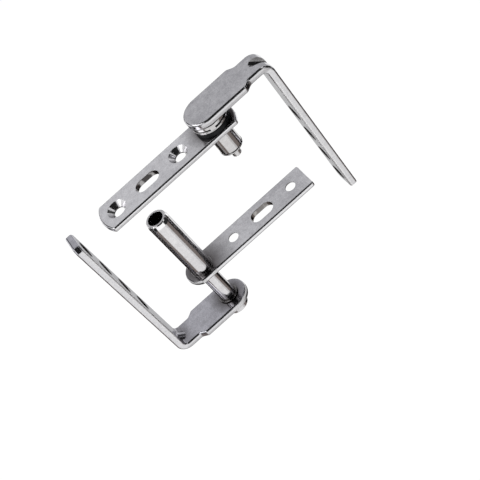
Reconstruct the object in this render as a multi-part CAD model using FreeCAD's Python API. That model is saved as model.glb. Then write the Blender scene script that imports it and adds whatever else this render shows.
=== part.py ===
import FreeCAD, Part
import math
import os

# A double action cafe hinge: a carrier fitting that bears the door on a short pin, and a guide fitting
# whose tube slides and turns on a long pin. Millimetres, with both pins along Z. The origin is where the
# carrier's pin axis crosses the face of its door plate that lies on the door.

# Jamb brackets, both the same pressing
sheet = 4.0
paddle_width = 20.0
neck_width = 15.0
shoulder_start = 21.4
shoulder_run = 3.4
shoulder_inner_round = 3.0
shoulder_outer_round = 1.4
pin_to_jamb = 38.0
leg_length = 99.0
bend_inner_radius = 2.5
leg_corner_chamfer = 2.3
sheet_edge_round = 1.1

# Holes for the screws into the jamb
jamb_hole_count = 4
jamb_hole_pitch = 16.6
jamb_hole_end_margin = 9.0
jamb_hole_diameter = 5.2
jamb_sink_diameter = 9.6

# Dart pressed into the bend to stiffen it
dart_reach = 8.3
dart_groove_radius = 3.0
dart_wall = 2.2

# Door plates
plate_thickness = 3.0
carrier_plate_width = 20.0
guide_plate_width = 17.5
plate_reach = 70.6
carrier_plate_heel = 11.6
carrier_plate_end_radius = 18.2
guide_plate_heel_radius = 9.8
plate_edge_round = 0.9
plate_corner_round = 1.1
pin_to_first_hole = 22.0
plate_hole_end_margin = 9.8
plate_hole_diameter = 5.8
plate_sink_diameter = 10.8
slot_length = 13.8
slot_width = 8.0

# Fits shared by both fittings
running_clearance = 0.05
seat_gap = 0.02
axial_play = 0.1
turned_edge = 0.25
foot_swell = 0.5

# Carrier bearing stack between the arm and the door plate
washer_diameter = 19.0
nylon_thickness = 2.7
keyed_washer_thickness = 1.3
tooth_gap = 0.7
bearing_disc_thickness = 2.0
tooth_width = 2.8
tooth_inner_radius = 7.0
tooth_turn = -12.0
notch_depth = 0.5
washer_bore_clearance = 0.1

# Carrier pin, bush and end washer
carrier_pin_diameter = 8.0
pin_seat_depth = 2.5
bush_diameter = 12.2
bush_length = 14.0
end_washer_diameter = 12.6
end_washer_thickness = 1.0
tip_stem_diameter = 4.4
tip_head_diameter = 5.0
tip_length = 6.2
tip_chamfer = 0.6

# Guide fitting: where it stands, its pin and its tube
guide_axis_x = -51.0
guide_door_face_z = -61.1
guide_exposed_pin = 24.9
guide_pin_diameter = 9.0
guide_pin_engagement = 18.5
guide_pin_chamfer = 1.0
guide_head_diameter = 12.5
guide_head_thickness = 6.2
guide_head_chamfer = 0.8
guide_collar_diameter = 11.2
guide_collar_thickness = 0.9
guide_tube_diameter = 12.0
guide_tube_length = 43.8
mouth_taper_width = 0.4
mouth_taper_length = 2.8
mouth_edge_round = 0.45
mouth_lip_width = 0.35
mouth_lip_length = 1.0
mouth_inner_chamfer = 0.1

# Values that follow from the sizes above
carrier_pin_radius = carrier_pin_diameter / 2
carrier_bore_radius = carrier_pin_radius + running_clearance
guide_pin_radius = guide_pin_diameter / 2
guide_bore_radius = guide_pin_radius + running_clearance
washer_radius = washer_diameter / 2
bush_radius = bush_diameter / 2
tube_radius = guide_tube_diameter / 2
plate_hole_pitch = (plate_reach - plate_hole_end_margin - pin_to_first_hole) / 2
washer_bore_radius = carrier_pin_radius + washer_bore_clearance
nylon_top = plate_thickness + nylon_thickness
keyed_washer_z = nylon_top + axial_play
disc_z = keyed_washer_z + keyed_washer_thickness + tooth_gap
carrier_arm_inner = disc_z + bearing_disc_thickness
carrier_arm_outer = carrier_arm_inner + sheet
end_washer_top = -(bush_length + axial_play)
guide_plate_underside = guide_door_face_z - plate_thickness
guide_arm_inner = guide_plate_underside - guide_exposed_pin
guide_arm_outer = guide_arm_inner - sheet

UP = FreeCAD.Vector(0, 0, 1)
ALONG_ARM = FreeCAD.Vector(1, 0, 0)
ACROSS = FreeCAD.Vector(0, 1, 0)
ORIGIN = FreeCAD.Vector(0, 0, 0)


def point(x, y, z):
    return FreeCAD.Vector(x, y, z)


def line(start, end):
    return Part.LineSegment(start, end).toShape()


def arc(start, middle, end):
    return Part.Arc(start, middle, end).toShape()


def prism(edges, extrusion):
    """A closed outline carried along a vector."""
    return Part.Face(Part.Wire(edges)).extrude(extrusion)


def polygon_prism(corners, extrusion):
    return Part.Face(Part.makePolygon(corners + corners[:1])).extrude(extrusion)


def turned(profile):
    """A round piece about Z from (radius, height) corners."""
    corners = [point(radius, 0, height) for radius, height in profile]
    return Part.Face(Part.makePolygon(corners + corners[:1])).revolve(ORIGIN, UP, 360)


def ring(outer, inner, low, high, edge):
    """A turned washer with its outer edges broken."""
    return turned([
        (inner, low), (outer - edge, low), (outer, low + edge),
        (outer, high - edge), (outer - edge, high), (inner, high),
    ])


def bend_centre():
    outer = bend_inner_radius + sheet
    return point(pin_to_jamb - outer, 0, -outer)


def on_bend(radius):
    """The middle of the bend's arc at this radius."""
    step = radius * math.sqrt(0.5)
    return bend_centre() + point(step, 0, step)


def bracket_strip():
    """The folded strip, at the paddle's width: the arm's outer face is at Z 0 and the leg points down."""
    centre = bend_centre()
    inside = pin_to_jamb - sheet
    arm_end = -paddle_width / 2
    foot = -leg_length
    outline = [
        line(point(arm_end, 0, 0), point(centre.x, 0, 0)),
        arc(point(centre.x, 0, 0), on_bend(bend_inner_radius + sheet), point(pin_to_jamb, 0, centre.z)),
        line(point(pin_to_jamb, 0, centre.z), point(pin_to_jamb, 0, foot)),
        line(point(pin_to_jamb, 0, foot), point(inside, 0, foot)),
        line(point(inside, 0, foot), point(inside, 0, centre.z)),
        arc(point(inside, 0, centre.z), on_bend(bend_inner_radius), point(centre.x, 0, -sheet)),
        line(point(centre.x, 0, -sheet), point(arm_end, 0, -sheet)),
        line(point(arm_end, 0, -sheet), point(arm_end, 0, 0)),
    ]
    strip = prism(outline, ACROSS * paddle_width)
    strip.translate(ACROSS * (-paddle_width / 2))
    return strip


def bracket_plan():
    """The blank's outline seen along the pin: round paddle end, shoulders, then the neck's width."""
    half = paddle_width / 2
    neck = neck_width / 2
    neck_start = shoulder_start + shoulder_run
    beyond = pin_to_jamb + sheet
    low = -leg_length - sheet
    outline = [
        arc(point(0, half, low), point(-half, 0, low), point(0, -half, low)),
        line(point(0, -half, low), point(shoulder_start, -half, low)),
        line(point(shoulder_start, -half, low), point(neck_start, -neck, low)),
        line(point(neck_start, -neck, low), point(beyond, -neck, low)),
        line(point(beyond, -neck, low), point(beyond, neck, low)),
        line(point(beyond, neck, low), point(neck_start, neck, low)),
        line(point(neck_start, neck, low), point(shoulder_start, half, low)),
        line(point(shoulder_start, half, low), point(0, half, low)),
    ]
    plan = prism(outline, UP * (leg_length + 2 * sheet))
    plan = plan.makeFillet(shoulder_inner_round, upright_edges(plan, neck_start, neck))
    return plan.makeFillet(shoulder_outer_round, upright_edges(plan, shoulder_start, half))


def upright_edges(solid, x, y):
    """The edges along Z that stand at X and at plus or minus Y."""
    found = []
    for edge in solid.Edges:
        middle = edge.BoundBox.Center
        if abs(middle.x - x) < seat_gap and abs(abs(middle.y) - y) < seat_gap:
            found.append(edge)
    return found


def skin_edges(solid):
    """The outline edges of the sheet's two skins, without the bend lines and the edges through the sheet."""
    bend_foot = bend_centre().z
    found = []
    for edge in solid.Edges:
        box = edge.BoundBox
        along_x = box.YLength + box.ZLength < seat_gap
        along_y = box.XLength + box.ZLength < seat_gap
        along_z = box.XLength + box.YLength < seat_gap
        through_leg = along_x and box.ZMax < bend_foot
        bend_line = along_y and box.ZMax > -leg_length + sheet
        through_arm = along_z and box.ZLength < sheet + seat_gap
        if not (through_leg or bend_line or through_arm):
            found.append(edge)
    return found


def corner_cut(side):
    """The wedge taken off one corner of the leg's free end."""
    edge = side * neck_width / 2
    inner = side * (neck_width / 2 - leg_corner_chamfer)
    x = pin_to_jamb - 2 * sheet
    corners = [
        point(x, edge, -leg_length),
        point(x, edge, -leg_length + leg_corner_chamfer),
        point(x, inner, -leg_length),
    ]
    return polygon_prism(corners, ALONG_ARM * (3 * sheet))


def dart_rod(radius):
    """A rod across the bend whose groove touches the arm and the leg at the dart's reach from the corner."""
    slope = point(1, 0, -1).normalize()
    outward = point(1, 0, 1).normalize()
    start = point(pin_to_jamb - dart_reach, 0, 0) + outward * dart_groove_radius - slope * dart_reach
    length = dart_reach * (2 + math.sqrt(2))
    return Part.makeCylinder(radius, length, start, slope)


def bend_block():
    """The space inside the bracket's outer faces, which the dart's hump may fill."""
    centre = bend_centre()
    outline = [
        line(point(0, 0, 0), point(centre.x, 0, 0)),
        arc(point(centre.x, 0, 0), on_bend(bend_inner_radius + sheet), point(pin_to_jamb, 0, centre.z)),
        line(point(pin_to_jamb, 0, centre.z), point(pin_to_jamb, 0, -pin_to_jamb)),
        line(point(pin_to_jamb, 0, -pin_to_jamb), point(0, 0, 0)),
    ]
    block = prism(outline, ACROSS * neck_width)
    block.translate(ACROSS * (-neck_width / 2))
    return block


def jamb_screw_hole(height):
    """A hole through the leg, countersunk on the inner face."""
    inside = pin_to_jamb - sheet
    depth = (jamb_sink_diameter - jamb_hole_diameter) / 2
    hole = Part.makeCylinder(jamb_hole_diameter / 2, sheet, point(inside, 0, height), ALONG_ARM)
    sink = Part.makeCone(
        jamb_sink_diameter / 2, jamb_hole_diameter / 2, depth, point(inside, 0, height), ALONG_ARM
    )
    return hole.fuse(sink)


def jamb_bracket():
    """The bracket without a pin hole, in its own frame."""
    blank = bracket_strip().common(bracket_plan())
    for side in (-1, 1):
        blank = blank.cut(corner_cut(side))
    blank = blank.removeSplitter().Solids[0]
    blank = blank.makeFillet(sheet_edge_round, skin_edges(blank))
    hump = dart_rod(dart_groove_radius + dart_wall).common(bend_block())
    blank = blank.fuse(hump).cut(dart_rod(dart_groove_radius))
    for index in range(jamb_hole_count):
        height = -leg_length + jamb_hole_end_margin + index * jamb_hole_pitch
        blank = blank.cut(jamb_screw_hole(height))
    return blank.removeSplitter().Solids[0]


def place_guide(shape):
    """Turn a piece from the bracket's frame over, and set it at the guide's pin axis."""
    shape.rotate(ORIGIN, ACROSS, 180)
    shape.translate(point(guide_axis_x, 0, guide_arm_outer))
    return shape


def at_guide_axis(shape):
    shape.translate(ALONG_ARM * guide_axis_x)
    return shape


def carrier_jamb_bracket():
    bracket = jamb_bracket()
    bracket.translate(UP * carrier_arm_outer)
    seat = Part.makeCylinder(carrier_pin_radius + seat_gap, pin_seat_depth, UP * carrier_arm_inner, UP)
    return bracket.cut(seat)


def guide_jamb_bracket():
    bracket = jamb_bracket()
    hole = Part.makeCylinder(guide_bore_radius, sheet, UP * (-sheet), UP)
    return place_guide(bracket.cut(hole))


def carrier_plate_outline():
    """Straight sides between two shallow arcs, the long way towards the door."""
    half = carrier_plate_width / 2
    drop = carrier_plate_end_radius - math.sqrt(carrier_plate_end_radius ** 2 - half ** 2)
    far = -plate_reach + drop
    near = carrier_plate_heel - drop
    return [
        arc(point(far, half, 0), point(-plate_reach, 0, 0), point(far, -half, 0)),
        line(point(far, -half, 0), point(near, -half, 0)),
        arc(point(near, -half, 0), point(carrier_plate_heel, 0, 0), point(near, half, 0)),
        line(point(near, half, 0), point(far, half, 0)),
    ]


def guide_plate_outline():
    """A square far end, and a heel on an arc about the pin."""
    half = guide_plate_width / 2
    heel = -math.sqrt(guide_plate_heel_radius ** 2 - half ** 2)
    return [
        arc(point(heel, half, 0), point(-guide_plate_heel_radius, 0, 0), point(heel, -half, 0)),
        line(point(heel, -half, 0), point(plate_reach, -half, 0)),
        line(point(plate_reach, -half, 0), point(plate_reach, half, 0)),
        line(point(plate_reach, half, 0), point(heel, half, 0)),
    ]


def door_plate(outline, tube_radius_here, direction, sunk_from_above):
    """A door plate from Z 0 up, with its screw holes and slot on the side that direction gives."""
    plate = prism(outline, UP * plate_thickness)
    corners = [edge for edge in plate.Edges if edge.BoundBox.ZLength > seat_gap]
    plate = plate.makeFillet(plate_corner_round, corners)
    rims = [edge for edge in plate.Edges if edge.BoundBox.ZLength < seat_gap]
    plate = plate.makeFillet(plate_edge_round, rims)
    plate = plate.cut(Part.makeCylinder(tube_radius_here + foot_swell + seat_gap, plate_thickness))
    first = direction * pin_to_first_hole
    pitch = direction * plate_hole_pitch
    plate = plate.cut(door_screw_hole(first, sunk_from_above))
    plate = plate.cut(slot(first + pitch))
    return plate.cut(door_screw_hole(first + 2 * pitch, sunk_from_above))


def door_screw_hole(x, sunk_from_above):
    """A hole through the plate, countersunk on the face away from the door."""
    depth = (plate_sink_diameter - plate_hole_diameter) / 2
    hole = Part.makeCylinder(plate_hole_diameter / 2, plate_thickness, point(x, 0, 0), UP)
    mouth = plate_thickness if sunk_from_above else 0
    inward = -UP if sunk_from_above else UP
    sink = Part.makeCone(
        plate_sink_diameter / 2, plate_hole_diameter / 2, depth, point(x, 0, mouth), inward
    )
    return hole.fuse(sink)


def slot(x):
    """The adjusting slot, along the plate."""
    radius = slot_width / 2
    left = x - slot_length / 2 + radius
    right = x + slot_length / 2 - radius
    outline = [
        line(point(left, -radius, 0), point(right, -radius, 0)),
        arc(point(right, -radius, 0), point(right + radius, 0, 0), point(right, radius, 0)),
        line(point(right, radius, 0), point(left, radius, 0)),
        arc(point(left, radius, 0), point(left - radius, 0, 0), point(left, -radius, 0)),
    ]
    return prism(outline, UP * plate_thickness)


def carrier_door_plate():
    return door_plate(carrier_plate_outline(), bush_radius, -1, True)


def guide_door_plate():
    plate = door_plate(guide_plate_outline(), tube_radius, 1, False)
    plate.translate(UP * guide_plate_underside)
    return at_guide_axis(plate)


def carrier_bush():
    """A tube sunk in the door, whose swelled foot fills the plate's hole, flush with its top."""
    foot = bush_radius + foot_swell
    return turned([
        (carrier_bore_radius, -bush_length), (bush_radius - turned_edge, -bush_length),
        (bush_radius, -bush_length + turned_edge), (bush_radius, 0), (foot, 0),
        (foot, plate_thickness), (carrier_bore_radius, plate_thickness),
    ])


def carrier_nylon_washer():
    return ring(washer_radius, washer_bore_radius, plate_thickness, nylon_top, turned_edge)


def tooth_pair(width, inner_radius, low, high):
    """Two blocks at opposite sides of the bearing ring, out to its rim."""
    height = high - low
    bar = Part.makeBox(width, washer_diameter, height, point(-width / 2, -washer_radius, low))
    bar.rotate(ORIGIN, UP, tooth_turn)
    rim = Part.makeCylinder(washer_radius, height, UP * low, UP)
    middle = Part.makeCylinder(inner_radius, height, UP * low, UP)
    return bar.common(rim).cut(middle)


def carrier_keyed_washer():
    top = keyed_washer_z + keyed_washer_thickness
    washer = ring(washer_radius, washer_bore_radius, keyed_washer_z, top, turned_edge)
    width = tooth_width + 2 * seat_gap
    return washer.cut(tooth_pair(width, tooth_inner_radius - seat_gap, top - notch_depth, top))


def carrier_bearing_disc():
    disc = ring(washer_radius, carrier_pin_radius + seat_gap, disc_z, carrier_arm_inner, turned_edge)
    tooth_foot = disc_z - tooth_gap - notch_depth
    teeth = tooth_pair(tooth_width, tooth_inner_radius, tooth_foot, disc_z + turned_edge)
    return disc.fuse(teeth).removeSplitter().Solids[0]


def carrier_pivot_pin():
    """Seated in the arm, then through the stack and the bush to a headed tip."""
    top = carrier_arm_inner + pin_seat_depth
    stem = tip_stem_diameter / 2
    head = tip_head_diameter / 2
    washer_low = end_washer_top - end_washer_thickness
    tip_end = washer_low - tip_length
    return turned([
        (0, tip_end), (head - tip_chamfer, tip_end), (head, tip_end + tip_chamfer),
        (head, washer_low), (stem, washer_low), (stem, end_washer_top),
        (carrier_pin_radius, end_washer_top), (carrier_pin_radius, top), (0, top),
    ])


def carrier_end_washer():
    bore = tip_stem_diameter / 2 + seat_gap
    low = end_washer_top - end_washer_thickness
    return ring(end_washer_diameter / 2, bore, low, end_washer_top, turned_edge)


def guide_pivot_pin():
    """A flat head outside the arm and a long plain shank with a broken end."""
    head = guide_head_diameter / 2
    head_top = guide_arm_outer - axial_play
    head_low = head_top - guide_head_thickness
    top = guide_door_face_z + guide_pin_engagement
    return at_guide_axis(turned([
        (0, head_low), (head - guide_head_chamfer, head_low), (head, head_low + guide_head_chamfer),
        (head, head_top), (guide_pin_radius, head_top), (guide_pin_radius, top - guide_pin_chamfer),
        (guide_pin_radius - guide_pin_chamfer, top), (0, top),
    ]))


def guide_pin_collar():
    low = guide_arm_inner + axial_play
    high = low + guide_collar_thickness
    bore = guide_pin_radius + seat_gap
    return at_guide_axis(ring(guide_collar_diameter / 2, bore, low, high, turned_edge))


def guide_tube():
    """A tube whose swelled foot fills the plate's hole, flush with its underside, with a closed-in mouth."""
    foot = tube_radius + foot_swell
    mouth = guide_door_face_z + guide_tube_length
    nose = tube_radius - mouth_taper_width
    lip = guide_bore_radius - mouth_lip_width
    return at_guide_axis(turned([
        (guide_bore_radius, guide_plate_underside), (foot, guide_plate_underside),
        (foot, guide_door_face_z), (tube_radius, guide_door_face_z),
        (tube_radius, mouth - mouth_taper_length), (nose, mouth - mouth_edge_round),
        (nose - mouth_edge_round, mouth), (lip + mouth_inner_chamfer, mouth),
        (lip, mouth - mouth_inner_chamfer), (lip, mouth - mouth_lip_length),
        (guide_bore_radius, mouth - mouth_lip_length),
    ]))


PIECES = [
    carrier_jamb_bracket,
    carrier_bearing_disc,
    carrier_keyed_washer,
    carrier_nylon_washer,
    carrier_door_plate,
    carrier_bush,
    carrier_pivot_pin,
    carrier_end_washer,
    guide_jamb_bracket,
    guide_pivot_pin,
    guide_pin_collar,
    guide_door_plate,
    guide_tube,
]

os.makedirs("parts", exist_ok=True)
for piece in PIECES:
    shape = piece()
    shape.exportStep(f"parts/{piece.__name__}.step")
    print(f"{piece.__name__}: {len(shape.Solids)} solid, valid {shape.isValid()}, {shape.Volume:.1f} mm3")
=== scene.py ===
import logging
import math
from dataclasses import dataclass, field, replace
from enum import Enum

import bpy
from mathutils import Matrix, Vector


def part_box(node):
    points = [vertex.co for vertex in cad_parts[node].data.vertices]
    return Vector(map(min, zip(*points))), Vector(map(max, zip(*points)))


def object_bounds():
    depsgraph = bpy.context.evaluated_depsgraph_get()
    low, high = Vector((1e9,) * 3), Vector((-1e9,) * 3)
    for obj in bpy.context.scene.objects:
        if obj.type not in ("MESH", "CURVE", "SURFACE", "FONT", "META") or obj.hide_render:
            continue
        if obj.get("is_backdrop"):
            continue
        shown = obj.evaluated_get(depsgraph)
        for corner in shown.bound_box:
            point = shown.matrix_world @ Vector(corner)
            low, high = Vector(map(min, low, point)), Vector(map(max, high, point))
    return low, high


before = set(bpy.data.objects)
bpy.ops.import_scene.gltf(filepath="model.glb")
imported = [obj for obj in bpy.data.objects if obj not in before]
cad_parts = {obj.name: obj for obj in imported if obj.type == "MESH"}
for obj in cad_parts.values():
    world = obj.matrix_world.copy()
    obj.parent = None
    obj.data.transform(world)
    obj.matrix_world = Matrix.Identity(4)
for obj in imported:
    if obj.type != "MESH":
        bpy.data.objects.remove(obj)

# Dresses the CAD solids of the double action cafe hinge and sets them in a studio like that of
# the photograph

log = logging.getLogger("cafe_hinge")

MM = 0.001
Colour = tuple[float, float, float]
Span = tuple[float, float]
Socket = bpy.types.NodeSocket

RISING: Span = (0.0, 1.0)
FALLING: Span = (1.0, 0.0)
WHITE: Colour = (1.0, 1.0, 1.0)

# The colour sockets of a Mix node, which share their names with its number sockets
MIX_LOW, MIX_HIGH, MIX_RESULT = 6, 7, 2


class Grain(Enum):
    """How the finishing marks run on a piece of steel."""

    ALONG_STRIP = "along the folded strip, round its bend"
    ALONG_BAR = "along the flat bar"
    ROUND_PIN = "round the turning axis"


class Drilled(Enum):
    """How holes run.

    Each value is the axis that the holes follow, the axis that they are spread along and how
    steep their walls are.
    """

    THROUGH_BAR = ("Z", "X", (0.2, 0.5))
    THROUGH_LEG = ("X", "Z", (0.75, 0.95))


class Reading(Enum):
    """What is read off a piece: a point's place on it, or the way that the point faces."""

    PLACE = "Object"
    FACING = "Normal"


class NodeDesk:
    """A node tree with short ways to add nodes and to join them."""

    def __init__(self, tree: bpy.types.NodeTree) -> None:
        """Take over a tree and empty it."""
        self.tree = tree
        tree.nodes.clear()

    def add(self, kind: str, **settings: object) -> bpy.types.Node:
        """Add one node.

        Args:
            kind: The node's type after the common ShaderNode prefix.
            settings: Node properties to set.

        Returns:
            The new node.
        """
        node = self.tree.nodes.new("ShaderNode" + kind)
        for key, value in settings.items():
            setattr(node, key, value)
        return node

    def join(self, source: Socket, target: Socket) -> None:
        """Link an output to an input."""
        self.tree.links.new(source, target)

    def math(self, operation: str, first: Socket, second: Socket | float = 0.0) -> Socket:
        """Add a math node.

        Args:
            operation: The math operation's name.
            first: The first operand.
            second: The second operand, a socket or a number.

        Returns:
            The result's socket.
        """
        node = self.add("Math", operation=operation)
        self.join(first, node.inputs[0])
        if isinstance(second, Socket):
            self.join(second, node.inputs[1])
        else:
            node.inputs[1].default_value = second
        return node.outputs[0]

    def product(self, first: Socket, *others: Socket | float) -> Socket:
        """Multiply several factors.

        Args:
            first: The first factor.
            others: The other factors, sockets or numbers.

        Returns:
            The product's socket.
        """
        for other in others:
            first = self.math("MULTIPLY", first, other)
        return first

    def unsigned(self, source: Socket) -> Socket:
        """Take a value without its sign."""
        return self.math("ABSOLUTE", source)

    def parts(self, reading: Reading) -> dict[str, Socket]:
        """Split what is read off the piece into its X, Y and Z.

        Args:
            reading: What is read.

        Returns:
            The three parts' sockets by axis.
        """
        place = self.add("TexCoord")
        split = self.add("SeparateXYZ")
        self.join(place.outputs[reading.value], split.inputs[0])
        return {axis: split.outputs[axis] for axis in "XYZ"}

    def span(self, source: Socket, start: Span, end: Span) -> Socket:
        """Map one range of a value onto another, clamped.

        Args:
            source: The value to map.
            start: The range it comes from.
            end: The range it goes to.

        Returns:
            The mapped value's socket.
        """
        node = self.add("MapRange")
        self.join(source, node.inputs["Value"])
        node.inputs["From Min"].default_value, node.inputs["From Max"].default_value = start
        node.inputs["To Min"].default_value, node.inputs["To Max"].default_value = end
        return node.outputs["Result"]

    def noise(self, vector: Socket, scale: Vector, detail: float) -> Socket:
        """Add noise that is stretched by a scale per axis.

        Args:
            vector: The place that the noise is read at.
            scale: Cycles per metre along each axis.
            detail: How many finer layers it has.

        Returns:
            The noise value's socket.
        """
        stretch = self.add("Mapping")
        self.join(vector, stretch.inputs["Vector"])
        stretch.inputs["Scale"].default_value = scale
        texture = self.add("TexNoise")
        self.join(stretch.outputs["Vector"], texture.inputs["Vector"])
        texture.inputs["Scale"].default_value = 1.0
        texture.inputs["Detail"].default_value = detail
        return texture.outputs["Fac"]

    def even_noise(self, per_m: float, detail: float) -> Socket:
        """Add noise that is as fine along every axis of the piece.

        Args:
            per_m: Cycles per metre.
            detail: How many finer layers it has.

        Returns:
            The noise value's socket.
        """
        place = self.add("TexCoord")
        return self.noise(place.outputs[Reading.PLACE.value], Vector((per_m,) * 3), detail)

    def mix_colour(self, factor: Socket, low: Socket | Colour, high: Socket | Colour) -> Socket:
        """Mix two colours by a factor.

        Args:
            factor: The amount of the high colour.
            low: The colour at 0.
            high: The colour at 1.

        Returns:
            The mixed colour's socket.
        """
        node = self.add("Mix", data_type="RGBA")
        self.join(factor, node.inputs["Factor"])
        for index, colour in ((MIX_LOW, low), (MIX_HIGH, high)):
            if isinstance(colour, Socket):
                self.join(colour, node.inputs[index])
            else:
                node.inputs[index].default_value = (*colour, 1.0)
        return node.outputs[MIX_RESULT]

    def bump(
        self, shader: bpy.types.Node, height: Socket, strength: float, depth: float
    ) -> bpy.types.Node:
        """Raise a shader's surface by a height.

        Args:
            shader: The shader.
            height: The height, about 0 to 1.
            strength: How much of the bump shows.
            depth: How deep a height of 1 is.

        Returns:
            The bump node, which can take another normal to start from.
        """
        node = self.add("Bump")
        node.inputs["Strength"].default_value = strength
        node.inputs["Distance"].default_value = depth
        self.join(height, node.inputs["Height"])
        self.join(node.outputs["Normal"], shader.inputs["Normal"])
        return node

    def show(self, shader: bpy.types.Node, output: str = "OutputMaterial") -> None:
        """Join a shader to the tree's output."""
        self.join(shader.outputs[0], self.add(output).inputs["Surface"])


def new_material(name: str) -> tuple[bpy.types.Material, NodeDesk]:
    """Start a node material.

    Args:
        name: The material's name.

    Returns:
        The material and its empty nodes.
    """
    made = bpy.data.materials.new(name)
    made.use_nodes = True
    return made, NodeDesk(made.node_tree)


@dataclass(frozen=True)
class SteelFinish:
    """A stainless finish with grain, mottling, worn edges and sheared sides, with painted
    highlights on edges, ends and the dart, and painted shade in corners, hole walls and lower
    bands.

    A turn is the range, in parts of a point's normal, over which a face starts or stops to count.
    """

    name: str
    grain: Grain
    colour: Colour
    shade: Colour
    roughness: Span

    # Grain and mottling
    streak_per_m: float = 2600.0
    streak_detail: float = 3.0
    ring_detail: float = 2.0
    run_per_m: float = 60.0
    fleck_per_m: float = 1100.0
    fleck_detail: float = 2.0
    blotch_per_m: float = 320.0
    blotch_detail: float = 2.0
    cloud_per_m: float = 45.0
    cloud_detail: float = 3.0
    grain_depth: float = 0.005 * MM
    grain_strength: float = 0.12
    grain_span: Span = (0.3, 0.7)
    mottle_span: Span = (1.15, 1.85)
    leg_turn: Span = (0.45, 0.85)

    # Rubbed edges, made paler both as wear and as a painted highlight
    edge_radius: float = 0.35 * MM
    painted_edge_colour: Colour = (0.74, 0.74, 0.76)
    edge_roughness: float = 0.55
    edge_turn: Span = (0.995, 0.90)
    edge_samples: int = 6
    rubbed_span: Span = (0.4, 0.6)
    rubbed_least: float = 0.5
    satin_metal: float = 0.25

    # Painted shade in corners, by ambient occlusion, and a ring of painted shade round a pin's
    # seat
    painted_shade_colour: Colour = (0.09, 0.08, 0.08)
    corner_shade_reach: float = 10.0 * MM
    corner_shade_span: Span = (0.5, 0.97)
    corner_shade_most: float = 0.9
    corner_shade_samples: int = 16
    seat_shade_reach: Span | None = None
    seat_shade_turn: Span = (0.5, 0.9)
    seat_shade_most: float = 0.75

    # Sheared sides, with painted shade in a darker band along their lower part
    cut_colour: Colour | None = None
    cut_roughness: float = 0.12
    cut_turn: Span = (0.8, 0.97)
    cut_span: Span = (0.3, 0.6)
    cut_least: float = 0.45
    side_shade_colour: Colour = (0.46, 0.45, 0.46)
    side_shade_band: Span | None = None
    side_shade_soft: float = 0.25 * MM
    side_shade_span: Span = (0.3, 0.7)
    side_shade_least: float = 0.6

    # Painted shade in the walls of holes and slots
    bore_shade_colour: Colour = (0.07, 0.065, 0.065)
    bore_shine: Colour | None = None
    bore_span: Span | None = None
    bore_soft: float = 1.0 * MM
    bore_half: Span = (5.5 * MM, 6.0 * MM)
    chatter_per_m: float = 330.0
    chatter_detail: float = 1.0
    chatter_span: Span = (0.5, 0.62)
    drilled: Drilled = Drilled.THROUGH_BAR

    # Painted highlight on the inner edges of a leg, on the side of X that they face
    inner_side: float = 0.0
    inner_start: Span = (0.1, 0.3)
    inner_stop: Span = (0.9, 0.99)
    inner_upright: Span = (0.1, 0.3)

    # Closed-in end of a tube
    burnished_above: float | None = None
    burnish_colour: Colour = (0.97, 0.965, 0.97)
    burnish_soft: float = 0.3 * MM
    burnish_turn: Span = (0.5, 0.9)
    burnish_smooth: float = 0.5

    # Round end about the pin, with a painted highlight over a painted shadow
    axis_x: float = 0.0
    end_radius: float | None = None
    end_dark_below: float = 0.0
    end_shadow: Colour = (0.06, 0.055, 0.055)
    end_turn: Span = (0.75, 0.97)
    end_top_turn: Span = (0.4, 0.8)
    end_under_turn: Span = (-0.98, -0.9)
    end_inside: Span = (1.0 * MM, 0.7 * MM)
    end_outside: Span = (0.2 * MM, 0.6 * MM)
    end_soft: float = 0.15 * MM

    # Painted highlight on the dart in the bend
    dart_corner: Span | None = None
    dart_reach: float = 10.0 * MM
    dart_soft: float = 1.0 * MM
    dart_floor: Span = (2.25 * MM, 2.55 * MM)
    dart_rim: Span = (4.0 * MM, 4.5 * MM)
    dart_turn: Span = (0.08, 0.2)
    dart_highlight_colour: Colour = (0.95, 0.945, 0.955)

    def from_axis(self, desk: NodeDesk) -> tuple[Socket, Socket]:
        """Measure from the pin's axis, which stands along Z at axis_x.

        Args:
            desk: The material's nodes.

        Returns:
            The distance from the axis and the height along it.
        """
        place = desk.add("TexCoord")
        offset = desk.add("VectorMath", operation="SUBTRACT")
        desk.join(place.outputs[Reading.PLACE.value], offset.inputs[0])
        offset.inputs[1].default_value = (self.axis_x, 0.0, 0.0)
        split = desk.add("SeparateXYZ")
        desk.join(offset.outputs["Vector"], split.inputs[0])
        square = desk.math("POWER", split.outputs["X"], 2.0)
        square = desk.math("ADD", square, desk.math("POWER", split.outputs["Y"], 2.0))
        return desk.math("SQRT", square), split.outputs["Z"]

    def grain_value(self, desk: NodeDesk) -> Socket:
        """Lay the grain's streaks.

        Args:
            desk: The material's nodes.

        Returns:
            The streaks' value, about 0 to 1.
        """
        fine, run = self.streak_per_m, self.run_per_m
        if self.grain is Grain.ROUND_PIN:
            radius, height = self.from_axis(desk)
            ring = desk.add("CombineXYZ")
            desk.join(radius, ring.inputs["X"])
            desk.join(height, ring.inputs["Z"])
            return desk.noise(ring.outputs[0], Vector((fine, 1.0, fine)), self.ring_detail)
        place = desk.add("TexCoord").outputs[Reading.PLACE.value]
        along_x = desk.noise(place, Vector((run, fine, fine)), self.streak_detail)
        if self.grain is Grain.ALONG_BAR:
            return along_x
        along_z = desk.noise(place, Vector((fine, fine, run)), self.streak_detail)
        facing = desk.parts(Reading.FACING)
        blend = desk.add("Mix")
        leg = desk.span(desk.unsigned(facing["X"]), self.leg_turn, RISING)
        desk.join(leg, blend.inputs["Factor"])
        desk.join(along_x, blend.inputs["A"])
        desk.join(along_z, blend.inputs["B"])
        return blend.outputs["Result"]

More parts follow.
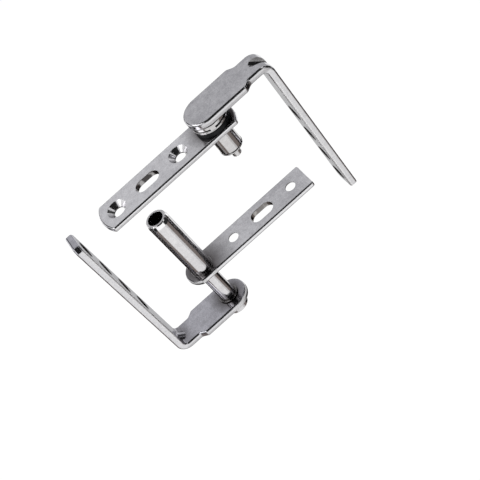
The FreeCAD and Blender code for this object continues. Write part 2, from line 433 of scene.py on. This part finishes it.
    def wear_and_edge_highlight(self, desk: NodeDesk, rounded: Socket, cloud: Socket) -> Socket:
        """Find the sharp edges, made paler both as rubbing wear and as a painted highlight.

        Args:
            desk: The material's nodes.
            rounded: The normal with its sharp edges rounded.
            cloud: The slow noise that breaks the wear up.

        Returns:
            A factor of 1 on the worn, highlighted edges and 0 elsewhere.
        """
        plain = desk.add("NewGeometry")
        turn = desk.add("VectorMath", operation="DOT_PRODUCT")
        desk.join(rounded, turn.inputs[0])
        desk.join(plain.outputs["Normal"], turn.inputs[1])
        edge = desk.span(turn.outputs["Value"], self.edge_turn, RISING)
        return desk.product(edge, desk.span(cloud, self.rubbed_span, (self.rubbed_least, 1.0)))

    def cut_side(self, desk: NodeDesk) -> Socket:
        """Find the sheared sides of the sheet, which face along Y.

        Args:
            desk: The material's nodes.

        Returns:
            A factor of 1 on the sides and 0 on the skins.
        """
        facing = desk.parts(Reading.FACING)
        return desk.span(desk.unsigned(facing["Y"]), self.cut_turn, RISING)

    def shear(self, desk: NodeDesk, colour: Socket, cut: Socket, fleck: Socket) -> Socket:
        """Show the sheared sides, with painted shade in a darker band along their lower part.

        Args:
            desk: The material's nodes.
            colour: The steel's colour so far.
            cut: The factor of the sheared sides.
            fleck: The fine noise that breaks the bands up.

        Returns:
            The colour with its sheared sides.
        """
        marks = desk.product(cut, desk.span(fleck, self.cut_span, (self.cut_least, 1.0)))
        colour = desk.mix_colour(marks, colour, self.cut_colour)
        if self.side_shade_band is None:
            return colour
        low, high = self.side_shade_band
        soft = self.side_shade_soft
        _, height = self.from_axis(desk)
        # Painted shade: the lower band of each sheared side is darkened
        above = desk.span(height, (low - soft, low + soft), RISING)
        below = desk.span(height, (high - soft, high + soft), FALLING)
        broken = desk.span(fleck, self.side_shade_span, (self.side_shade_least, 1.0))
        side_shade = desk.product(cut, desk.product(above, below), broken)
        return desk.mix_colour(side_shade, colour, self.side_shade_colour)

    def drilled_part(self, desk: NodeDesk) -> Socket:
        """Find the length of the piece that its holes are spread along.

        Args:
            desk: The material's nodes.

        Returns:
            A factor of 1 along that length and 0 past its ends.
        """
        _, along, _ = self.drilled.value
        low, high = self.bore_span
        place = desk.parts(Reading.PLACE)
        past_low = desk.span(place[along], (low, low + self.bore_soft), RISING)
        before_high = desk.span(place[along], (high - self.bore_soft, high), FALLING)
        return desk.product(past_low, before_high)

    def shade_bores(self, desk: NodeDesk, colour: Socket) -> Socket:
        """Paint shade into the walls of the holes, broken on those of a plate by paler chatter
        marks.

        Args:
            desk: The material's nodes.
            colour: The steel's colour so far.

        Returns:
            The colour with painted shade in its hole walls.
        """
        follows, _, steep = self.drilled.value
        facing = desk.parts(Reading.FACING)
        place = desk.parts(Reading.PLACE)
        wall = desk.span(desk.unsigned(facing[follows]), steep, FALLING)
        across = desk.span(desk.unsigned(place["Y"]), self.bore_half, FALLING)
        inside = desk.product(self.drilled_part(desk), across)
        # Painted shade: the hole walls are darkened, with paler chatter marks in those of a plate
        dark: Socket | Colour = self.bore_shade_colour
        if self.bore_shine is not None:
            ripple = desk.even_noise(self.chatter_per_m, self.chatter_detail)
            chatter = desk.span(ripple, self.chatter_span, RISING)
            dark = desk.mix_colour(chatter, self.bore_shade_colour, self.bore_shine)
        return desk.mix_colour(desk.product(wall, inside), colour, dark)

    def inner_edge_highlight(self, desk: NodeDesk) -> Socket:
        """Find the long edges of a leg's inner face, which take a painted highlight: pale and
        satin.

        Args:
            desk: The material's nodes.

        Returns:
            A factor of 1 on those edges and 0 elsewhere.
        """
        facing = desk.parts(Reading.FACING)
        inward = desk.product(facing["X"], self.inner_side)
        start = desk.span(inward, self.inner_start, RISING)
        stop = desk.span(inward, self.inner_stop, FALLING)
        upright = desk.span(desk.unsigned(facing["Z"]), self.inner_upright, FALLING)
        return desk.product(start, stop, upright, self.drilled_part(desk))

    def burnish(self, desk: NodeDesk) -> Socket:
        """Find the end of a tube that was closed in by a die and came out brighter.

        Args:
            desk: The material's nodes.

        Returns:
            A factor of 1 past the die's edge and 0 before it.
        """
        _, height = self.from_axis(desk)
        edge = self.burnished_above
        past = desk.span(height, (edge, edge + self.burnish_soft), RISING)
        facing = desk.parts(Reading.FACING)
        side = desk.span(desk.unsigned(facing["Z"]), self.burnish_turn, FALLING)
        return desk.product(past, side)

    def end_highlight_and_shadow(self, desk: NodeDesk) -> tuple[Socket, Socket]:
        """Find the side of the round end, which takes a painted highlight and, under it, a painted
        shadow.

        Args:
            desk: The material's nodes.

        Returns:
            A factor of 1 on the end's side, for its painted highlight, and one of 1 on its lower
            part alone, for its painted shadow.
        """
        radius, height = self.from_axis(desk)
        facing = desk.parts(Reading.FACING)
        inside = tuple(self.end_radius - step for step in self.end_inside)
        outside = tuple(self.end_radius + step for step in self.end_outside)
        near = desk.span(radius, inside, RISING)
        far = desk.span(radius, outside, FALLING)
        not_top = desk.span(facing["Z"], self.end_top_turn, FALLING)
        not_under = desk.span(facing["Z"], self.end_under_turn, RISING)
        end = desk.product(near, far, desk.product(not_top, not_under))
        dark, soft = self.end_dark_below, self.end_soft
        below = desk.span(height, (dark - soft, dark + soft), FALLING)
        sideways = desk.span(desk.unsigned(facing["Y"]), self.end_turn, FALLING)
        return end, desk.product(end, below, sideways)

    def dart_highlight(self, desk: NodeDesk) -> Socket:
        """Find the upper sides of the dart in the bend, which take a painted highlight: pale and
        satin.

        Args:
            desk: The material's nodes.

        Returns:
            A factor of 1 on those sides and 0 on the dart's floor and elsewhere.
        """
        facing = desk.parts(Reading.FACING)
        place = desk.parts(Reading.PLACE)
        start_x, start_z = (corner - self.dart_reach for corner in self.dart_corner)
        near_x = desk.span(place["X"], (start_x, start_x + self.dart_soft), RISING)
        near_z = desk.span(place["Z"], (start_z, start_z + self.dart_soft), RISING)
        off_floor = desk.span(desk.unsigned(place["Y"]), self.dart_floor, RISING)
        in_rim = desk.span(desk.unsigned(place["Y"]), self.dart_rim, FALLING)
        turned = desk.span(desk.unsigned(facing["Y"]), self.dart_turn, RISING)
        return desk.product(near_x, near_z, in_rim, desk.product(off_floor, turned))

    def paint_corner_shade(self, desk: NodeDesk, colour: Socket) -> Socket:
        """Paint shade into the corners by ambient occlusion, and a ring of painted shade on the
        skin round a pin's seat.

        Args:
            desk: The material's nodes.
            colour: The steel's colour so far.

        Returns:
            The colour with its painted shade.
        """
        # Painted shade: corners are darkened by ambient occlusion, and the skin round a pin's seat
        # is darkened too
        corner = desk.add("AmbientOcclusion", samples=self.corner_shade_samples)
        corner.inputs["Distance"].default_value = self.corner_shade_reach
        corner_shade = desk.span(corner.outputs["AO"], self.corner_shade_span, (self.corner_shade_most, 0.0))
        colour = desk.mix_colour(corner_shade, colour, self.painted_shade_colour)
        if self.seat_shade_reach is None:
            return colour
        radius, _ = self.from_axis(desk)
        facing = desk.parts(Reading.FACING)
        skin = desk.span(desk.unsigned(facing["Z"]), self.seat_shade_turn, (0.0, self.seat_shade_most))
        seat_shade = desk.product(desk.span(radius, self.seat_shade_reach, FALLING), skin)
        return desk.mix_colour(seat_shade, colour, self.painted_shade_colour)

    def satin(self, desk: NodeDesk, dull: Socket, factor: Socket) -> Socket:
        """Roughen the steel where it is satin.

        Args:
            desk: The material's nodes.
            dull: The roughness so far.
            factor: The factor of the satin places.

        Returns:
            The new roughness.
        """
        return desk.math("MAXIMUM", dull, desk.product(factor, self.edge_roughness))

    def soften(self, desk: NodeDesk, shader: bpy.types.Node, factor: Socket) -> None:
        """Take most of the metal's mirror away by a factor."""
        desk.join(desk.span(factor, RISING, (1.0, self.satin_metal)), shader.inputs["Metallic"])

    def workings(
        self, desk: NodeDesk, shader: bpy.types.Node, fleck: Socket, colour: Socket, dull: Socket
    ) -> tuple[Socket, Socket]:
        """Add the marks that the making left on the piece, such as its sheared sides, and the
        painted highlights and painted shade on its sides, ends, dart, leg edges and hole walls.

        Args:
            desk: The material's nodes.
            shader: The steel's shader.
            fleck: The fine noise that breaks marks up.
            colour: The steel's colour so far.
            dull: The roughness so far.

        Returns:
            The colour and the roughness with those marks.
        """
        if self.cut_colour is not None:
            cut = self.cut_side(desk)
            colour = self.shear(desk, colour, cut, fleck)
            dull = desk.math("ADD", dull, desk.product(cut, self.cut_roughness))
        if self.end_radius is not None:
            # Painted highlight and painted shadow: the round end's side is made pale and matt, and
            # dark in its lower part
            end, shadow = self.end_highlight_and_shadow(desk)
            self.soften(desk, shader, end)
            colour = desk.mix_colour(end, colour, self.painted_edge_colour)
            colour = desk.mix_colour(shadow, colour, self.end_shadow)
            dull = self.satin(desk, dull, end)
        if self.dart_corner is not None:
            # Painted highlight: the dart's upper sides are made pale and matt
            dart_light = self.dart_highlight(desk)
            self.soften(desk, shader, dart_light)
            colour = desk.mix_colour(dart_light, colour, self.dart_highlight_colour)
            dull = self.satin(desk, dull, dart_light)
        if self.burnished_above is not None:
            bright = self.burnish(desk)
            colour = desk.mix_colour(bright, colour, self.burnish_colour)
            dull = desk.product(dull, desk.span(bright, RISING, (1.0, self.burnish_smooth)))
        if self.inner_side:
            # Painted highlight: a leg's inner edges are made pale and satin
            edge = self.inner_edge_highlight(desk)
            colour = desk.mix_colour(edge, colour, self.painted_edge_colour)
            dull = self.satin(desk, dull, edge)
        if self.bore_span is not None:
            colour = self.shade_bores(desk, colour)
        return colour, dull

    def material(self) -> bpy.types.Material:
        """Make the finish as a node material.

        Returns:
            The material.
        """
        made, desk = new_material(self.name)
        shader = desk.add("BsdfPrincipled")
        shader.inputs["Metallic"].default_value = 1.0
        cloud = desk.even_noise(self.cloud_per_m, self.cloud_detail)
        fleck = desk.even_noise(self.fleck_per_m, self.fleck_detail)
        blotch = desk.even_noise(self.blotch_per_m, self.blotch_detail)
        mottle = desk.math("ADD", desk.math("ADD", cloud, blotch), fleck)
        pale = desk.span(mottle, self.mottle_span, RISING)
        colour = desk.mix_colour(pale, self.shade, self.colour)
        rounded = desk.add("Bevel", samples=self.edge_samples)
        rounded.inputs["Radius"].default_value = self.edge_radius
        # Edges are made paler, partly as rubbing wear and partly as a painted highlight
        worn_highlight = self.wear_and_edge_highlight(desk, rounded.outputs["Normal"], cloud)
        colour = desk.mix_colour(worn_highlight, colour, self.painted_edge_colour)
        grain = self.grain_value(desk)
        dull = self.satin(desk, desk.span(grain, self.grain_span, self.roughness), worn_highlight)
        colour, dull = self.workings(desk, shader, fleck, colour, dull)
        desk.join(self.paint_corner_shade(desk, colour), shader.inputs["Base Color"])
        desk.join(dull, shader.inputs["Roughness"])
        bump = desk.bump(shader, grain, self.grain_strength, self.grain_depth)
        desk.join(rounded.outputs["Normal"], bump.inputs["Normal"])
        desk.show(shader)
        return made


@dataclass(frozen=True)
class NylonFinish:
    """Black moulded nylon with a faint grain and paler scuffs."""

    name: str
    colour: Colour = (0.006, 0.006, 0.007)
    scuff: Colour = (0.022, 0.022, 0.024)
    scuff_per_m: tuple[float, float, float] = (300.0, 300.0, 900.0)
    scuff_detail: float = 4.0
    scuff_span: Span = (0.55, 0.8)
    roughness: Span = (0.42, 0.6)
    gloss: float = 0.22
    grain_per_m: float = 2200.0
    grain_detail: float = 3.0
    grain_span: Span = (0.3, 0.7)
    grain_strength: float = 0.2
    grain_depth: float = 0.02 * MM

    def material(self) -> bpy.types.Material:
        """Make the finish as a node material.

        Returns:
            The material.
        """
        made, desk = new_material(self.name)
        place = desk.add("TexCoord").outputs[Reading.PLACE.value]
        grain = desk.even_noise(self.grain_per_m, self.grain_detail)
        scuffs = desk.noise(place, Vector(self.scuff_per_m), self.scuff_detail)
        marked = desk.span(scuffs, self.scuff_span, RISING)
        shader = desk.add("BsdfPrincipled")
        desk.join(desk.mix_colour(marked, self.colour, self.scuff), shader.inputs["Base Color"])
        shader.inputs["Specular IOR Level"].default_value = self.gloss
        desk.join(desk.span(grain, self.grain_span, self.roughness), shader.inputs["Roughness"])
        desk.bump(shader, grain, self.grain_strength, self.grain_depth)
        desk.show(shader)
        return made


CARRIER_BRACKET_STEEL = SteelFinish(
    "carrier_bracket_steel",
    Grain.ALONG_STRIP,
    colour=(0.75, 0.745, 0.77),
    shade=(0.50, 0.495, 0.52),
    roughness=(0.10, 0.20),
    cut_colour=(0.74, 0.735, 0.745),
    painted_edge_colour=(0.95, 0.945, 0.955),
    drilled=Drilled.THROUGH_LEG,
    inner_side=-1.0,
)
GUIDE_BRACKET_STEEL = SteelFinish(
    "guide_bracket_steel",
    Grain.ALONG_STRIP,
    colour=(0.68, 0.675, 0.73),
    shade=(0.45, 0.445, 0.48),
    roughness=(0.10, 0.20),
    cut_colour=(0.74, 0.735, 0.745),
    painted_edge_colour=(0.95, 0.945, 0.955),
    drilled=Drilled.THROUGH_LEG,
    inner_side=1.0,
    seat_shade_reach=(4.0 * MM, 12.0 * MM),
)
CARRIER_PLATE_STEEL = SteelFinish(
    "carrier_plate_steel",
    Grain.ALONG_BAR,
    colour=(0.95, 0.945, 0.97),
    shade=(0.70, 0.695, 0.72),
    roughness=(0.10, 0.20),
    cut_colour=(0.84, 0.835, 0.845),
    painted_edge_colour=(0.97, 0.965, 0.975),
    bore_shade_colour=(0.06, 0.058, 0.058),
    bore_shine=(0.55, 0.54, 0.54),
)
GUIDE_PLATE_STEEL = SteelFinish(
    "guide_plate_steel",
    Grain.ALONG_BAR,
    colour=(0.85, 0.845, 0.87),
    shade=(0.58, 0.575, 0.60),
    roughness=(0.10, 0.20),
    cut_colour=(0.82, 0.815, 0.825),
    painted_edge_colour=(0.97, 0.965, 0.975),
    bore_shade_colour=(0.30, 0.285, 0.275),
    bore_shine=(0.60, 0.58, 0.56),
    seat_shade_reach=(6.5 * MM, 23.0 * MM),
    end_turn=(0.95, 0.999),
)
CARRIER_TURNED_STEEL = SteelFinish(
    "carrier_turned_steel",
    Grain.ROUND_PIN,
    colour=(0.66, 0.65, 0.65),
    shade=(0.54, 0.53, 0.53),
    roughness=(0.09, 0.17),
    grain_strength=0.05,
    corner_shade_reach=2.0 * MM,
)
GUIDE_TURNED_STEEL = SteelFinish(
    "guide_turned_steel",
    Grain.ROUND_PIN,
    colour=(0.76, 0.75, 0.76),
    shade=(0.62, 0.61, 0.62),
    roughness=(0.09, 0.17),
    grain_strength=0.015,
    corner_shade_reach=2.0 * MM,
)
# Painted shade: the collar is dark, and darker at its edges, for the shadow round the pin's foot
GUIDE_COLLAR_SHADED_STEEL = SteelFinish(
    "guide_collar_shaded_steel",
    Grain.ROUND_PIN,
    colour=(0.34, 0.335, 0.335),
    shade=(0.24, 0.235, 0.235),
    roughness=(0.12, 0.22),
    painted_edge_colour=(0.16, 0.155, 0.155),
    grain_strength=0.05,
    corner_shade_reach=5.0 * MM,
)
BLACK_NYLON = NylonFinish("black_nylon")


def dress(node: str, material: bpy.types.Material) -> None:
    """Give a CAD node one material.

    Args:
        node: The node's name.
        material: The material it takes.
    """
    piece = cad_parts[node]
    piece.data.materials.clear()
    piece.data.materials.append(material)
    log.info("%s is dressed in %s", node, material.name)


@dataclass
class Fitting:
    """The sizes that both fittings share: their brackets' pressing and their plates' margin."""

    sheet: float = 4.0 * MM
    unshaded_top: float = 1.8 * MM
    end_margin: float = 5.0 * MM
    bend_reach: float = 12.0 * MM


@dataclass
class CarrierFitting(Fitting):
    """The fitting that bears the door: bracket, bearing stack, door plate and bush."""

    plate_unshaded_top: float = 1.25 * MM
    bracket: str = "carrier_jamb_bracket"
    plate: str = "carrier_door_plate"
    washer: str = "carrier_nylon_washer"
    turned: tuple[str, ...] = (
        "carrier_bearing_disc",
        "carrier_keyed_washer",
        "carrier_bush",
        "carrier_pivot_pin",
        "carrier_end_washer",
    )

    def dress_bracket(self) -> None:
        """Dress the folded bracket, whose arm is at its top."""
        foot, arm_top = (corner[2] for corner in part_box(self.bracket))
        steel = replace(
            CARRIER_BRACKET_STEEL,
            dart_corner=(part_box(self.bracket)[1][0], arm_top),
            side_shade_band=(arm_top - self.sheet, arm_top - self.unshaded_top),
            bore_span=(foot + self.sheet / 2, arm_top - self.bend_reach),
        )
        dress(self.bracket, steel.material())

    def dress_plate(self) -> None:
        """Dress the door plate, whose holes end short of the pin."""
        low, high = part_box(self.plate)
        steel = replace(
            CARRIER_PLATE_STEEL,
            side_shade_band=(low[2], high[2] - self.plate_unshaded_top),
            bore_span=(low[0] + self.end_margin, -self.end_margin),
        )
        dress(self.plate, steel.material())

    def dress_bearing(self) -> None:
        """Dress the nylon washer and the turned pieces on the pin."""
        dress(self.washer, BLACK_NYLON.material())
        steel = CARRIER_TURNED_STEEL.material()
        for node in self.turned:
            dress(node, steel)

    def build(self) -> None:
        """Dress every piece of the carrier."""
        self.dress_bracket()
        self.dress_plate()
        self.dress_bearing()


@dataclass
class GuideFitting(Fitting):
    """The fitting that steadies the door: bracket, long pin, sliding tube and plate."""

    mouth_length: float = 2.8 * MM
    end_bright: float = 1.2 * MM
    bracket: str = "guide_jamb_bracket"
    plate: str = "guide_door_plate"
    collar: str = "guide_pin_collar"
    turned: tuple[str, ...] = ("guide_pivot_pin", "guide_tube")

    def axis_x(self) -> float:
        """Where the guide's pin stands along X."""
        low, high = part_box("guide_tube")
        return (low[0] + high[0]) / 2

    def dress_bracket(self) -> None:
        """Dress the folded bracket, whose arm is at its foot and rounded about the pin."""
        axis_x = self.axis_x()
        arm_low, tip = (corner[2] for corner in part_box(self.bracket))
        shade_top = arm_low + self.sheet - self.unshaded_top
        steel = replace(
            GUIDE_BRACKET_STEEL,
            axis_x=axis_x,
            end_radius=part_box(self.bracket)[1][0] - axis_x,
            end_dark_below=shade_top,
            side_shade_band=(arm_low, shade_top),
            bore_span=(arm_low + self.bend_reach, tip - self.sheet / 2),
        )
        dress(self.bracket, steel.material())

    def dress_plate(self) -> None:
        """Dress the door plate, whose heel is rounded about the tube."""
        axis_x = self.axis_x()
        low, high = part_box(self.plate)
        steel = replace(
            GUIDE_PLATE_STEEL,
            axis_x=axis_x,
            end_radius=axis_x - low[0],
            end_dark_below=high[2] - self.end_bright,
            side_shade_band=(low[2], high[2] - self.unshaded_top),
            bore_span=(axis_x + 2 * self.end_margin, high[0] - self.end_margin),
        )
        dress(self.plate, steel.material())

    def dress_pin(self) -> None:
        """Dress the pin, the tube with its closed-in mouth, and the collar."""
        axis_x = self.axis_x()
        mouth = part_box("guide_tube")[1][2] - self.mouth_length
        steel = replace(GUIDE_TURNED_STEEL, axis_x=axis_x, burnished_above=mouth).material()
        for node in self.turned:
            dress(node, steel)
        dress(self.collar, replace(GUIDE_COLLAR_SHADED_STEEL, axis_x=axis_x).material())

    def build(self) -> None:
        """Dress every piece of the guide."""
        self.dress_bracket()
        self.dress_plate()
        self.dress_pin()


@dataclass
class PhotoCamera:
    """The camera at the photograph's viewing angle, for a square picture."""

    place_mm: tuple[float, float, float] = (-24.28, -447.02, 355.28)
    azimuth: float = 0.41
    elevation: float = 43.27
    roll: float = 42.12
    lens_mm: float = 90.0
    sensor_mm: float = 36.0
    clip_m: Span = (0.01, 50.0)

    def build(self) -> None:
        """Make the camera and hand it to the scene."""
        data = bpy.data.cameras.new("photo_camera")
        data.lens = self.lens_mm
        data.sensor_width = self.sensor_mm
        data.clip_start, data.clip_end = self.clip_m
        camera = bpy.data.objects.new("photo_camera", data)
        bpy.context.collection.objects.link(camera)
        turn = Matrix.Rotation(math.radians(self.azimuth), 4, "Z")
        tilt = Matrix.Rotation(math.radians(90.0 - self.elevation), 4, "X")
        roll = Matrix.Rotation(math.radians(-self.roll), 4, "Z")
        camera.matrix_world = Matrix.Translation(Vector(self.place_mm) * MM) @ turn @ tilt @ roll
        bpy.context.scene.camera = camera
        log.info("the camera looks down at %.1f degrees", self.elevation)


@dataclass(frozen=True)
class Card:
    """A flat card that hangs round the object for the steel to mirror.

    The bearing is in degrees from the camera's side, -Y, towards +X, and the height in degrees
    above the horizon.
    """

    name: str
    bearing: float
    height: float
    distance: float
    size: tuple[float, float]
    level: float
    colour: Colour = WHITE

    def toward(self) -> Vector:
        """Find the way from the object to the card's middle.

        Returns:
            The direction, of length 1.
        """
        bearing, height = math.radians(self.bearing), math.radians(self.height)
        flat = math.cos(height)
        return Vector((math.sin(bearing) * flat, -math.cos(bearing) * flat, math.sin(height)))


WARM_DARK: Colour = (1.0, 0.86, 0.80)
COOL_GREY: Colour = (0.98, 0.98, 1.0)
CARDS = (
    Card("rear_grey_card", 180.0, 43.0, 0.9, (2.4, 0.9), 0.58, COOL_GREY),
    Card("front_dark_card", 0.0, 47.0, 0.9, (1.1, 2.0), 0.02),
    Card("right_pale_flag", 29.0, -43.0, 0.5, (0.12, 0.48), 0.78),
    Card("right_warm_flag", 53.0, -43.0, 0.5, (0.30, 0.48), 0.24, WARM_DARK),
    Card("right_dark_flag", 93.0, -40.0, 0.5, (0.40, 0.46), 0.015, WARM_DARK),
    Card("right_high_flag", 79.0, 6.0, 0.5, (1.0, 0.30), 0.02),
    Card("right_upper_flag", 82.0, 33.0, 0.48, (0.48, 0.24), 0.03),
    Card("left_warm_flag", -83.0, -43.0, 0.5, (0.31, 0.48), 0.24, WARM_DARK),
    Card("left_dark_flag", -123.0, -43.0, 0.5, (0.42, 0.48), 0.03, WARM_DARK),
    Card("left_upper_flag", -136.0, 38.0, 0.5, (0.32, 0.16), 0.02),
    Card("rear_low_flag", 170.0, -43.0, 0.5, (0.28, 0.34), 0.55),
    Card("under_card", 0.0, -90.0, 0.45, (0.9, 0.5), 0.45),
    Card("rear_horizon_card", 180.0, 0.0, 0.9, (1.0, 0.5), 0.2),
    Card("bend_card", 144.0, 16.0, 0.4, (0.25, 0.26), 0.5, COOL_GREY),
    Card("overhead_dark_card", 180.0, 82.0, 0.88, (1.1, 0.44), 0.02),
    Card("left_high_flag", -80.0, 5.0, 0.5, (0.70, 0.28), 0.15),
    Card("mouth_right_flag", 62.0, -20.0, 0.46, (0.57, 0.13), 0.02),
    Card("mouth_left_flag", -85.0, -21.0, 0.46, (0.49, 0.13), 0.02),
)


@dataclass
class Studio:
    """Pale floor, white surroundings and soft light, with cards that the steel mirrors."""

    floor_drop: float = 0.47
    floor_half: float = 6.0
    floor_white: float = 0.85
    floor_albedo: float = 0.25
    floor_matt: float = 0.8
    world_level: float = 0.6
    key_size: float = 0.9
    key_power: float = 4.0
    key_place: tuple[float, float, float] = (-0.55, 0.15, 0.8)
    cards: list[bpy.types.Object] = field(default_factory=list)

    def by_ray(
        self, desk: NodeDesk, lighting: bpy.types.Node, shown: bpy.types.Node
    ) -> bpy.types.Node:
        """Part the rays that see the background from those that only light the object.

        Args:
            desk: The nodes to add to.
            lighting: The shader for the rays that light the object.
            shown: The shader for camera, glossy and transmission rays.

        Returns:
            The shader that chooses between the two.
        """
        path = desk.add("LightPath")
        seen = desk.math("MAXIMUM", path.outputs["Is Camera Ray"], path.outputs["Is Glossy Ray"])
        seen = desk.math("MAXIMUM", seen, path.outputs["Is Transmission Ray"])
        blend = desk.add("MixShader")
        desk.join(seen, blend.inputs[0])
        desk.join(lighting.outputs[0], blend.inputs[1])
        desk.join(shown.outputs[0], blend.inputs[2])
        return blend

    def build_world(self) -> None:
        """Surround the object with white that lights it at a plain level."""
        world = bpy.data.worlds.new("studio_world")
        world.use_nodes = True
        desk = NodeDesk(world.node_tree)
        light = desk.add("Background")
        light.inputs["Strength"].default_value = self.world_level
        white = desk.add("Background")
        white.inputs["Strength"].default_value = 1.0
        for shader in (light, white):
            shader.inputs["Color"].default_value = (*WHITE, 1.0)
        desk.show(self.by_ray(desk, light, white), "OutputWorld")
        bpy.context.scene.world = world

    def floor_material(self) -> bpy.types.Material:
        """Make the floor's white, which keeps a faint shadow.

        Returns:
            The material.
        """
        made, desk = new_material("studio_floor")
        matt = desk.add("BsdfDiffuse")
        matt.inputs["Color"].default_value = (self.floor_matt,) * 3 + (1.0,)
        shadow = desk.add("BsdfDiffuse")
        shadow.inputs["Color"].default_value = (self.floor_albedo,) * 3 + (1.0,)
        glow = desk.add("Emission")
        glow.inputs["Strength"].default_value = self.floor_white
        shown = desk.add("AddShader")
        desk.join(shadow.outputs[0], shown.inputs[0])
        desk.join(glow.outputs[0], shown.inputs[1])
        desk.show(self.by_ray(desk, matt, shown))
        return made

    def sheet(
        self, name: str, corners: list[Vector], material: bpy.types.Material
    ) -> bpy.types.Object:
        """Make a flat four-cornered sheet that belongs to the studio.

        Args:
            name: The sheet's name.
            corners: Its corners in order.
            material: Its material.

        Returns:
            The sheet's object.
        """
        mesh = bpy.data.meshes.new(name)
        mesh.from_pydata([tuple(corner) for corner in corners], [], [tuple(range(len(corners)))])
        mesh.materials.append(material)
        sheet = bpy.data.objects.new(name, mesh)
        bpy.context.collection.objects.link(sheet)
        sheet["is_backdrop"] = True
        return sheet

    def build_floor(self, low: Vector) -> None:
        """Lay the floor well below the object, which hangs above it as in the photograph.

        Args:
            low: The object's lowest corner.
        """
        height = low.z - self.floor_drop
        half = self.floor_half
        outline = ((-half, -half), (half, -half), (half, half), (-half, half))
        corners = [Vector((x, y, height)) for x, y in outline]
        self.sheet("studio_floor", corners, self.floor_material())

    def hang(self, card: Card, middle: Vector) -> None:
        """Hang a card that only the steel's reflections see.

        Args:
            card: The card to hang.
            middle: The object's middle, which the card faces.
        """
        made, desk = new_material(card.name)
        glow = desk.add("Emission")
        glow.inputs["Color"].default_value = (*card.colour, 1.0)
        glow.inputs["Strength"].default_value = card.level
        desk.show(glow)
        place = middle + card.toward() * card.distance
        turn = card.toward().to_track_quat("Z", "Y")
        width, height = card.size
        corners = []
        for across, up in ((-1, -1), (1, -1), (1, 1), (-1, 1)):
            corners.append(place + turn @ Vector((across * width / 2, up * height / 2, 0.0)))
        sheet = self.sheet(card.name, corners, made)
        sheet.visible_camera = False
        sheet.visible_shadow = False
        sheet.visible_diffuse = False
        self.cards.append(sheet)

    def build_key(self) -> None:
        """Hang one soft lamp above."""
        data = bpy.data.lights.new("key_lamp", "AREA")
        data.size = self.key_size
        data.energy = self.key_power
        lamp = bpy.data.objects.new("key_lamp", data)
        lamp.location = self.key_place
        lamp.rotation_euler = Vector(self.key_place).to_track_quat("Z", "Y").to_euler()
        bpy.context.collection.objects.link(lamp)

    def build(self, low: Vector, high: Vector) -> None:
        """Set the whole studio up round the object.

        Args:
            low: The object's lowest corner.
            high: The object's highest corner.
        """
        bpy.context.scene.view_settings.view_transform = "Standard"
        self.build_world()
        self.build_floor(low)
        for card in CARDS:
            self.hang(card, (low + high) / 2)
        self.build_key()
        log.info("the studio is set up with %d cards", len(self.cards))


def main() -> None:
    """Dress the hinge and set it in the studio."""
    logging.basicConfig(level=logging.INFO, format="%(message)s")
    solid_low, solid_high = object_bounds()
    CarrierFitting().build()
    GuideFitting().build()
    Studio().build(solid_low, solid_high)
    PhotoCamera().build()


if __name__ == "__main__":
    main()
